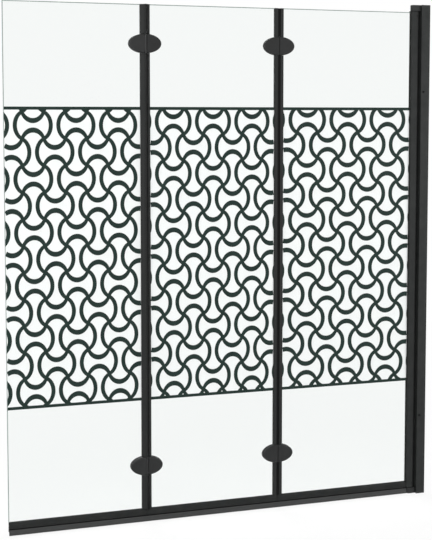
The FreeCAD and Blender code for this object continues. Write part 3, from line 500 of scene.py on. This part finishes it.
# collars of the post: their near black is painted shadow for the gap under each cap
COLLAR_SHADOW_BLACK = dark_finish("collar_shadow_black", (0.0030, 0.0030, 0.0030), (0.0055, 0.0055, 0.0055), (0.50, 0.65),
                           grain=1200, bump=0.2, shine=0.12)
SCREW_OXIDE = dark_finish("screw_oxide", (0.0050, 0.0050, 0.0053), (0.0090, 0.0090, 0.0095), (0.45, 0.60),
                          grain=2200, bump=0.3, shine=0.12)
TURNED_STEEL = dark_finish("turned_steel", (0.50, 0.50, 0.51), (0.62, 0.62, 0.63), (0.22, 0.36),
                           grain=1500, bump=0.1, lines=ALL_ROUND, metallic=1.0, shine=0.5)
print("coats:", PROFILE_COAT.name, RAIL_COAT.name, POST_COAT.name, OUTER_HINGE_COAT.name)
print("seals:", OUTER_VINYL.name, INNER_VINYL.name, JAMB_VINYL.name, DRIP_VINYL.name)

# %% [markdown]
# ## Glass
#
# The panes are 5 mm of toughened clear glass. Seen through its face it only dulls the white behind it a
# little, with a trace of green, and a thin film of dried water makes its gloss uneven. Glass stops the rays
# of lamps, which would put a dark shadow under a clear pane, so a transparent shader stands in for rays that
# look for a lamp.

# %% Glass
GLASS_TINT = (0.915, 0.938, 0.928, 1)
SHADOW_TINT = (0.90, 0.93, 0.92, 1)
GLASS_INDEX = 1.5
FILM_LOW, FILM_HIGH = 0.0, 0.02


def make_glass():
    """Clear glass with a faint green tint and an uneven film."""
    material, tree, output = new_material("toughened_glass")
    place = add_node(tree, "ShaderNodeTexCoord").outputs["Object"]
    film = add_node(tree, "ShaderNodeGroup", {"Vector": place, "Low": FILM_LOW, "High": FILM_HIGH},
                    node_tree=UNEVEN_GLOSS)
    pane = add_node(tree, "ShaderNodeBsdfPrincipled",
                    {"Base Color": GLASS_TINT, "Roughness": film.outputs["Gloss"], "IOR": GLASS_INDEX,
                     "Transmission Weight": 1.0})
    passing = add_node(tree, "ShaderNodeBsdfTransparent", {"Color": SHADOW_TINT})
    path = add_node(tree, "ShaderNodeLightPath")
    mixed = add_node(tree, "ShaderNodeMixShader",
                     {0: path.outputs["Is Shadow Ray"], 1: pane.outputs[0], 2: passing.outputs[0]})
    tree.links.new(mixed.outputs[0], output.inputs["Surface"])
    return material


CLEAR_GLASS = make_glass()
print("glass:", CLEAR_GLASS.name)

# %% [markdown]
# ## A finish for each solid
#
# The solids that stay as they are get their finish by name: the ending of a node's name says what it is, and
# on the hinges the beginning says at which fold it sits, because the painted shadow line along the seam lies
# at another place there.

# %% Painting the solids
FINISH_BY_NAME = {
    ("", "_glass"): CLEAR_GLASS,
    ("", "_rail"): RAIL_COAT,
    ("", "_drip_seal"): DRIP_VINYL,
    ("outer", "bead_seal"): OUTER_VINYL,
    ("outer", "groove_seal"): OUTER_VINYL,
    ("inner", "bead_seal"): INNER_VINYL,
    ("inner", "groove_seal"): INNER_VINYL,
    ("jamb", "seal"): JAMB_VINYL,
    ("outer", "_leaf"): OUTER_HINGE_COAT,
    ("outer", "_cover"): OUTER_HINGE_COAT,
    ("inner", "_leaf"): INNER_HINGE_COAT,
    ("inner", "_cover"): INNER_HINGE_COAT,
    ("", "_screw_plugs"): INNER_HINGE_COAT,
    ("", "_hinge_pads"): GASKET_RUBBER,
    ("post", "_gasket"): GASKET_RUBBER,
    ("pivot", "_bushes"): BUSH_NYLON,
    ("", "_cap"): CAP_PLASTIC,
    ("wall", "_channel"): PROFILE_COAT,
    ("jamb", "_profile"): PROFILE_COAT,
    ("pivot", "_post"): POST_COAT,
    ("side", "_screws"): SCREW_OXIDE,
    ("bush", "_screws"): SCREW_OXIDE,
    ("cap", "_screws"): SCREW_OXIDE,
    ("", "_hinge_screws"): TURNED_STEEL,
    ("", "_pins"): TURNED_STEEL,
}


def paint_solids():
    """Gives each solid the first finish whose beginning and ending fit its name, and counts them."""
    painted = 0
    for name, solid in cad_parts.items():
        finish = next(material for (beginning, ending), material in FINISH_BY_NAME.items()
                      if name.startswith(beginning) and name.endswith(ending))
        solid.data.materials.clear()
        solid.data.materials.append(finish)
        painted += 1
    return painted


print("solids with a finish:", paint_solids())

# %% [markdown]
# ## Rounded strips along the foot
#
# A rail is bent or extruded with soft corners, and a drip seal is soft vinyl, so neither has a knife edge.
# Both are one section carried along the pane. The section is the solid's own outline with its corners
# rounded: at each corner two points are set back along the sides, and a quadratic curve between them has the
# corner as its middle control point. The lip of the seal also waves by a fraction of a millimetre, as soft
# strips do, and at the folds the soft ends of two lips come close enough to hide the floor behind them.

# %% Sections of rail and drip seal
MM = 0.001
CURVE_STEPS = 5
# Y, Z and radius of each corner, in millimetres
RAIL_SIDE = [
    (3.75, 22.2, 0.2), (3.75, 20.0, 0.2), (2.0, 20.0, 0.2), (2.0, 18.0, 0.3), (7.0, 18.0, 1.0),
    (7.0, 31.0, 1.6), (4.0, 35.0, 0.9), (2.75, 35.0, 0.3), (2.75, 24.0, 0.2),
]
RAIL_SECTION = RAIL_SIDE + [(-y, z, r) for y, z, r in reversed(RAIL_SIDE)]
SEAL_SECTION = [
    (-3.55, 22.0, 0.5), (-3.55, 20.2, 0.3), (-1.8, 20.2, 0.3), (-1.8, 18.0, 0.3), (-4.2, 18.0, 0.2),
    (-4.2, 16.2, 0.4), (-7.4, 15.4, 0.7), (-10.5, 2.3, 0.5), (-9.2, 1.0, 0.5), (-5.0, 12.8, 0.8),
    (-3.4, 13.8, 0.6), (4.6, 14.7, 0.8), (5.2, 7.0, 0.4), (6.4, 7.0, 0.4), (7.0, 14.7, 0.8),
    (7.0, 18.0, 0.5), (1.8, 18.0, 0.3), (1.8, 20.2, 0.3), (3.55, 20.2, 0.3), (3.55, 22.0, 0.5),
]


def rounded(section):
    """The closed outline with each corner c replaced by (1-t)^2 a + 2t(1-t) c + t^2 b, where a and b lie on
    the two sides, one radius from c."""
    data = np.array(section)
    corner, radius = data[:, :2], data[:, 2:]
    before = np.roll(corner, 1, 0) - corner
    after = np.roll(corner, -1, 0) - corner
    start = corner + radius * before / np.linalg.norm(before, axis=1, keepdims=True)
    end = corner + radius * after / np.linalg.norm(after, axis=1, keepdims=True)
    t = np.linspace(0, 1, CURVE_STEPS)[None, :, None]
    curve = (1 - t) ** 2 * start[:, None] + 2 * t * (1 - t) * corner[:, None] + t ** 2 * end[:, None]
    return curve.reshape(-1, 2) * MM


print("points round a rail:", len(rounded(RAIL_SECTION)), "and a drip seal:", len(rounded(SEAL_SECTION)))

# %% Rails and drip seals
PANELS = ("outer_panel", "middle_panel", "wall_panel")
LIP_REACH = {"outer_panel": (0.0, 0.45), "middle_panel": (0.45, 0.45), "wall_panel": (0.45, 0.0)}
LIP_WAVE = 0.00025
LIP_PLACES = 60
WAVE_RATE = 61.0
WAVE_DRIFT = 23.0


def strip_along(node, section, places, wave=0.0, reach=(0.0, 0.0)):
    """A rounded section carried along X over the length of a solid, and a little further by the reach in
    millimetres. With a wave, points near the foot sway in Y by wave * (1 - z / top)^2 * sin of the place."""
    low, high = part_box(node)
    outline = rounded(section)
    x = np.linspace(low.x - reach[0] * MM, high.x + reach[1] * MM, places)
    rows = np.empty((places, outline.shape[0], 3))
    rows[..., 0] = x[:, None]
    rows[..., 1] = outline[None, :, 0]
    rows[..., 2] = outline[None, :, 1]
    foot = np.clip(1 - rows[..., 2] / outline[:, 1].max(), 0, 1) ** 2
    rows[..., 1] += wave * foot * np.sin(x * WAVE_RATE + np.sin(x * WAVE_DRIFT))[:, None]
    return rows


for panel in PANELS:
    rail = strip_along(f"{panel}_rail", RAIL_SECTION, places=2)
    points, faces = joined([rail])
    piece = piece_from(f"{panel}_foot_rail", points, faces, RAIL_COAT, panel)
    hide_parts(f"{panel}_rail")
    seal = strip_along(f"{panel}_drip_seal", SEAL_SECTION, LIP_PLACES, LIP_WAVE, LIP_REACH[panel])
    points, faces = joined([seal])
    piece = piece_from(f"{panel}_foot_seal", points, faces, DRIP_VINYL, panel)
    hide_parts(f"{panel}_drip_seal")
    print(panel, "rail from", round(rail[..., 0].min(), 4), "to", round(rail[..., 0].max(), 4))

# %% [markdown]
# ## Collars at the ends of the post
#
# The post turns between two caps on the wall profile. Its ends are open tube, so a thin moulded collar lies
# on each end, round the flange of the bush, and no light shows under the cap. Its near-black colour is
# painted shadow, for the shade in the gap under each cap. A disc would do, but the pin has to pass, so the
# collar is a small upright section carried round the outline of the post: its outer side follows the block
# with the round back, and its inner side a circle about the pivot. It stays clear of the cap and turns with
# the post.

# %% Collars
COLLAR_CLEAR = 0.0003
COLLAR_INSET = 0.0002
CORNER_ROUND = 0.002
ROUND_STEPS = 48


def ringed(rows):
    """Faces for a closed profile carried round a closed path: both the profile and the path join up."""
    index = np.arange(rows.shape[0] * rows.shape[1]).reshape(rows.shape[:2])
    there = np.roll(index, -1, 0)
    quads = np.stack([index, np.roll(index, -1, 1), np.roll(there, -1, 1), there], -1)
    return quads.reshape(-1, 4).tolist()


def post_outline(pivot):
    """The post seen from above: a half circle of its half depth about the pivot, then a quarter circle at
    each of the two corners on the glass side."""
    low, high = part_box("pivot_post")
    half = (high.y - low.y) / 2 - COLLAR_INSET
    back = np.linspace(-math.pi / 2, math.pi / 2, ROUND_STEPS)
    quarter = np.linspace(math.pi / 2, math.pi, ROUND_STEPS // 4)
    left = low.x + COLLAR_INSET + CORNER_ROUND
    x = np.concatenate([pivot + half * np.cos(back), left + CORNER_ROUND * np.cos(quarter),
                        left + CORNER_ROUND * np.cos(quarter[::-1])])
    y = np.concatenate([half * np.sin(back), half - CORNER_ROUND + CORNER_ROUND * np.sin(quarter),
                        CORNER_ROUND - half - CORNER_ROUND * np.sin(quarter[::-1])])
    return x, y


def collar(name, lower, upper):
    """Four corners at each place of the outline: inner and outer, lower and upper. The inner ones lie on a
    circle round the bush, at the same angle from the pivot as the outer ones."""
    bush_low, bush_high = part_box("pivot_bushes")
    pivot = (bush_low.x + bush_high.x) / 2
    bore = (bush_high.x - bush_low.x) / 2 + COLLAR_INSET
    x, y = post_outline(pivot)
    angle = np.arctan2(y, x - pivot)
    rows = np.empty((x.size, 4, 3))
    rows[:, :2, 0] = (pivot + bore * np.cos(angle))[:, None]
    rows[:, :2, 1] = (bore * np.sin(angle))[:, None]
    rows[:, 2:, 0] = x[:, None]
    rows[:, 2:, 1] = y[:, None]
    rows[:, :, 2] = [upper, lower, lower, upper]
    # the collar's near black stands for the shadow in the gap under the cap
    piece_from(name, rows.reshape(-1, 3), ringed(rows), COLLAR_SHADOW_BLACK, "wall_panel")


post_low, post_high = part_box("pivot_post")
collar("post_foot_collar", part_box("bottom_cap")[1].z + COLLAR_CLEAR, post_low.z)
collar("post_top_collar", post_high.z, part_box("top_cap")[0].z - COLLAR_CLEAR)

# %% [markdown]
# ## Ground edges of the glass
#
# Where no seal holds it, the edge of a toughened pane is ground, with a bevel towards each face, and shows as
# a fine grey green line. A line of colour in the glass would blur in the exported model, so the ground skin
# is a thin piece of its own: a U section carried along the top, and on the outer pane also up the free edge.
# At the corner the section is set on the mitre.

# %% Shape of a ground edge
BEVEL_WIDTH = 0.0018
SKIN_BACK = 0.00001
SKIN_FRONT = 0.00006
SEAL_CLEAR = 0.0005
FREE_INSET = 0.0012


def free_span(panel):
    """Left and right end of the open glass of a pane: its free edge, or the strips that hold its sides."""
    if panel == "outer_panel":
        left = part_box("outer_panel_glass")[0].x + FREE_INSET
        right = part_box("outer_bead_seal")[0].x - SEAL_CLEAR
    elif panel == "middle_panel":
        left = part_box("outer_groove_seal")[1].x + SEAL_CLEAR
        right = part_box("inner_groove_seal")[0].x - SEAL_CLEAR
    else:
        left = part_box("inner_bead_seal")[1].x + SEAL_CLEAR
        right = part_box("post_gasket")[0].x - SEAL_CLEAR
    return left, right


def ground_skin(corners, inward, half):
    """A U section carried along a path: each place is corner + depth * inward + side, where depth runs from
    just outside the edge to the end of the bevel, and side from face to face."""
    over, under = half + SKIN_FRONT, half + SKIN_BACK
    depth = np.array([BEVEL_WIDTH, -SKIN_FRONT, -SKIN_FRONT, BEVEL_WIDTH,
                      BEVEL_WIDTH, -SKIN_BACK, -SKIN_BACK, BEVEL_WIDTH])
    side = np.array([over, over, -over, -over, -under, -under, under, under])
    rows = np.empty((len(corners), depth.size, 3))
    rows[..., 0] = corners[:, :1] + depth * inward[:, :1]
    rows[..., 1] = side
    rows[..., 2] = corners[:, 1:] + depth * inward[:, 1:]
    return rows


for panel in PANELS:
    print(panel, "open glass from", *(round(end, 4) for end in free_span(panel)))

# %% Ground edges
GROUND_DARK = (0.21, 0.265, 0.245, 1)
GROUND_LIGHT = (0.27, 0.330, 0.305, 1)
GROUND_GRAIN = 2600
GROUND_GLOSS = (0.35, 0.55)
GROUND_BUMP = 0.2
FINE_RELIEF = 0.0001
DOWN = (0.0, -1.0)
RIGHT = (1.0, 0.0)
RIGHT_AND_DOWN = (1.0, -1.0)


def make_ground_finish():
    """Grey green ground glass: fine grain in tone and relief, and uneven gloss."""
    material, tree, output = new_material("ground_glass_edge")
    _, tone, height, roughness = grain_and_gloss(tree, GROUND_GRAIN, GROUND_GLOSS)
    colour = mix_colours(tree, tone, GROUND_DARK, GROUND_LIGHT)
    relief = add_node(tree, "ShaderNodeBump",
                      {"Height": height, "Strength": GROUND_BUMP, "Distance": FINE_RELIEF})
    shade(tree, output, {"Base Color": colour, "Roughness": roughness, "Normal": relief.outputs["Normal"]})
    return material


GROUND_EDGE = make_ground_finish()
for panel in PANELS:
    low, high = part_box(f"{panel}_glass")
    left, right = free_span(panel)
    corners, inward = [(left, high.z), (right, high.z)], [DOWN, DOWN]
    if panel == "outer_panel":
        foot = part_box("outer_panel_rail")[1].z
        corners, inward = [(low.x, foot), (low.x, high.z), (right, high.z)], [RIGHT, RIGHT_AND_DOWN, DOWN]
    points, faces = joined([ground_skin(np.array(corners), np.array(inward), (high.y - low.y) / 2)])
    piece_from(f"{panel}_ground_edge", points, faces, GROUND_EDGE, panel)
    print(panel, "ground edge with", len(corners), "places")

# %% [markdown]
# ## The printed band
#
# Half way up, the panes carry a printed band: a white frost between two dark lines, with a net of spool
# shapes, wide and tall ones by turns. The net could be drawn spool by spool, but it is simply two sets of
# waves. Upright waves sway left and right from row to row, level waves sway up and down from column to
# column, and where they cross they leave spools. A wave is a chain of round arcs, bent one way and the other
# by turns, and its ribbon is widest at the crests. A ribbon that runs past the edge of the pane or past a
# border line is cut there, so a wave can fall into several runs.

# %% Waves of the print
ROUNDNESS = 0.67
LEAST_WIDTH = 0.00008


def arc_wave(phase):
    """Round arcs, up and down by turns. Along one arc v runs from -1 to 1. The height is
    (sqrt(R^2 - v^2) - R + r) / r with roundness r and R = (1 + r^2) / 2r, so it is 1 at the crest and 0 at
    the ends. The swell 1 - v^2 goes with it."""
    turn = np.floor(phase / np.pi)
    v = 2 * (phase / np.pi - turn) - 1
    radius = (1 + ROUNDNESS ** 2) / (2 * ROUNDNESS)
    height = (np.sqrt(radius ** 2 - v ** 2) - radius + ROUNDNESS) / ROUNDNESS
    return height * (1 - 2 * (turn % 2)), 1 - v ** 2


def ribbon_edges(along, offset, width):
    """The two edges of a ribbon about the curve (along, offset): the curve moved by half the width along its
    normal, to either side."""
    slope = np.gradient(offset, along)
    length = np.sqrt(1 + slope ** 2)
    shift = np.stack([-slope / length, 1 / length], -1) * width[:, None] / 2
    middle = np.stack([along, offset], -1)
    return middle - shift, middle + shift


def ribbon_runs(first, second, low, high, depth):
    """Cuts a ribbon at a box and gives each remaining run as a flat bar: rows of four points, with the back
    and the front of the ink as depths in Y."""
    first, second = np.clip(first, low, high), np.clip(second, low, high)
    inside = np.linalg.norm(second - first, axis=1) > LEAST_WIDTH
    marks = np.flatnonzero(np.diff(np.concatenate([[0], inside.astype(int), [0]])))
    back, front = depth
    bars = []
    for start, end in zip(marks[::2], marks[1::2]):
        if end - start < 2:
            continue
        one, two = first[start:end], second[start:end]
        corners = ((one, back), (two, back), (two, front), (one, front))
        bars.append(np.stack([np.insert(edge, 1, y, axis=1) for edge, y in corners], 1))
    return bars


crest, swell_at_crest = arc_wave(np.array([np.pi / 2]))
print("a wave at its crest:", crest, "with swell", swell_at_crest)

# %% [markdown]
# The upright waves run from border to border, the level ones from side to side. A wave has one arc for each
# row or column that it passes, and every second wave is turned round. The ink lies on the bath face of the
# glass and is a tenth of a millimetre thick; level waves lie a hair higher, so that crossings do not fight.

# %% Net and border lines
BORDER_HIGH = 1.1088
BORDER_LOW = 0.3346
BORDER_WIDTH = 0.0080
ROWS = 11
ROW_HEIGHT = 0.0691
# first column line, width of a column and first row line on each pane
CELLS = {
    "outer_panel": (-1.1443, 0.05557, 1.0996),
    "middle_panel": (-0.7729, 0.05511, 1.1090),
    "wall_panel": (-0.3943, 0.06052, 1.1130),
}
STEPS_PER_ARC = 22
SWAY = 0.325
UPRIGHT_SHARE = 0.166
UPRIGHT_SWELL = 0.027
LEVEL_WIDTH = 0.0084
LEVEL_SWELL = 0.0048
INK_BACK = 0.00001
INK_FRONT = 0.00011
LAYER = 0.00002


def columns_of(panel):
    """Numbers of the columns that show on the open glass of a pane."""
    left, right = free_span(panel)
    first, cell, _ = CELLS[panel]
    return np.arange(math.floor((left - first) / cell), math.ceil((right - first) / cell) + 1)


def upright_waves(panel, low, high, depth):
    """For each column x = line - turn * sway * cell * height over z, with a width that goes with the cell."""
    first, cell, first_row = CELLS[panel]
    z = np.linspace(BORDER_LOW, BORDER_HIGH, ROWS * STEPS_PER_ARC)
    height, swell = arc_wave(np.pi * (first_row - z) / ROW_HEIGHT)
    width = cell * (UPRIGHT_SHARE + UPRIGHT_SWELL * swell)
    bars = []
    for column in columns_of(panel):
        x = first + column * cell - (-1.0) ** column * SWAY * cell * height
        one, two = (edge[:, ::-1] for edge in ribbon_edges(z, x, width))
        bars += ribbon_runs(one, two, low, high, depth)
    return bars


def level_waves(panel, low, high, depth):
    """For each row z = line - turn * sway * row height * height over x."""
    first, cell, first_row = CELLS[panel]
    x = np.linspace(low[0], high[0], len(columns_of(panel)) * STEPS_PER_ARC)
    height, swell = arc_wave(np.pi * (x - first) / cell)
    width = LEVEL_WIDTH + LEVEL_SWELL * swell
    bars = []
    for row in range(ROWS + 1):
        z = first_row - row * ROW_HEIGHT - (-1.0) ** row * SWAY * ROW_HEIGHT * height
        bars += ribbon_runs(*ribbon_edges(x, z, width), low, high, depth)
    return bars


def level_bar(low, high, depth):
    """A straight bar from the lower left to the upper right corner of a box: one ribbon of two places."""
    x = np.array([low[0], high[0]])
    lower, upper = np.stack([x, np.full(2, low[1])], -1), np.stack([x, np.full(2, high[1])], -1)
    return ribbon_runs(lower, upper, low, high, depth)


def net_of(panel, face):
    """All ribbons of a pane's print as bars, in front of the glass face."""
    left, right = free_span(panel)
    low, high = (left, BORDER_LOW), (right, BORDER_HIGH)
    under, over = face - INK_BACK, face - INK_FRONT
    bars = upright_waves(panel, low, high, (under, over))
    bars += level_waves(panel, low, high, (under, over - LAYER))
    for level in (BORDER_LOW, BORDER_HIGH):
        lower, upper = level - BORDER_WIDTH / 2, level + BORDER_WIDTH / 2
        bars += level_bar((left, lower), (right, upper), (under, over - 2 * LAYER))
    return bars


print("print from", BORDER_LOW, "to", BORDER_HIGH, "in", ROWS, "rows")

# %% [markdown]
# The ink is a ceramic paint that is fired into the glass: dark, a little cloudy and only half glossy. The
# frost under it is a thin white etch that lets part of the view through, so its cover is an Alpha that
# changes with the grain.

# %% Ink and frost
INK_DARK = (0.0115, 0.0240, 0.0198, 1)
INK_LIGHT = (0.0155, 0.0305, 0.0256, 1)
INK_GRAIN = 2400
INK_GLOSS = (0.38, 0.55)
INK_BUMP = 0.15
INK_SHINE = 0.13
FROST_WHITE = (0.925, 0.945, 0.940, 1)
FROST_GRAIN = 1800
FROST_GLOSS = (0.55, 0.7)
COVER_LOW, COVER_HIGH = 0.62, 0.74
FROST_BACK = 0.00004
FROST_FRONT = 0.00007


def make_ink():
    """Fired ceramic ink: dark green grey, a little cloudy, with a faint grain."""
    material, tree, output = new_material("fired_ink")
    _, tone, height, roughness = grain_and_gloss(tree, INK_GRAIN, INK_GLOSS)
    colour = mix_colours(tree, tone, INK_DARK, INK_LIGHT)
    relief = add_node(tree, "ShaderNodeBump",
                      {"Height": height, "Strength": INK_BUMP, "Distance": FINE_RELIEF})
    shade(tree, output, {"Base Color": colour, "Roughness": roughness, "Normal": relief.outputs["Normal"],
                         "Specular IOR Level": INK_SHINE})
    return material


def make_frost():
    """White frost that lets part of the view through: fine speckle in its cover and its roughness."""
    material, tree, output = new_material("white_frost")
    _, _, height, roughness = grain_and_gloss(tree, FROST_GRAIN, FROST_GLOSS)
    cover = stretch(tree, height, NOISE_LOW, NOISE_HIGH, COVER_LOW, COVER_HIGH)
    shade(tree, output, {"Base Color": FROST_WHITE, "Roughness": roughness, "Alpha": cover})
    return material


INK = make_ink()
FROST = make_frost()
for panel in PANELS:
    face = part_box(f"{panel}_glass")[0].y
    bars = net_of(panel, face)
    points, faces = joined(bars)
    piece_from(f"{panel}_print", points, faces, INK, panel)
    print(panel, "print:", len(bars), "bars,", len(faces), "faces")
    left, right = free_span(panel)
    sheet = level_bar((left, BORDER_LOW), (right, BORDER_HIGH), (face - FROST_BACK, face - FROST_FRONT))
    points, faces = joined(sheet)
    piece_from(f"{panel}_frost", points, faces, FROST, panel)
